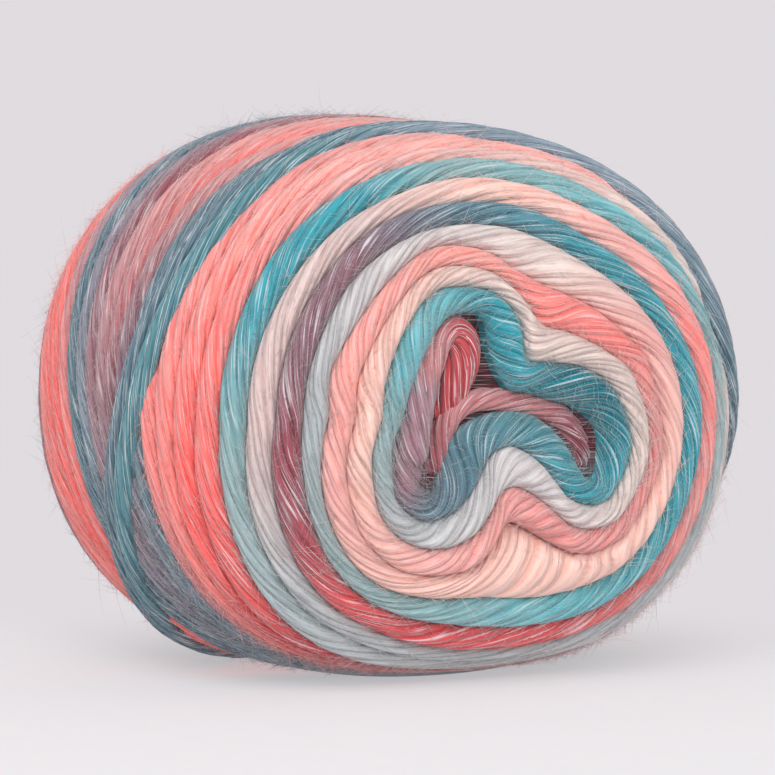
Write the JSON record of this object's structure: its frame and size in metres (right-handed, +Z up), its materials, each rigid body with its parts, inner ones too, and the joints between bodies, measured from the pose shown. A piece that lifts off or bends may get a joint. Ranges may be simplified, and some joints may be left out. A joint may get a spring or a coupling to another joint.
{
  "type": "yarn_ball",
  "caption": "Machine-wound ball of soft gradient yarn in coral, cream, grey, aqua and slate, lying on its side with its lobed eye showing",
  "frame": {"origin": "on the table, under the middle of the ball", "axes": "+Z up, +X along the winding axis out of the end with the lobed eye, +Y to the right when looking at that end"},
  "size_m": [0.0844, 0.098, 0.0834],
  "materials": {
    "yarn": "soft brushed yarn dyed in a long gradient, matt, with a light halo of loose fibres"
  },
  "bodies": {
    "root": {"wound_yarn": "yarn"}
  },
  "joints": []
}
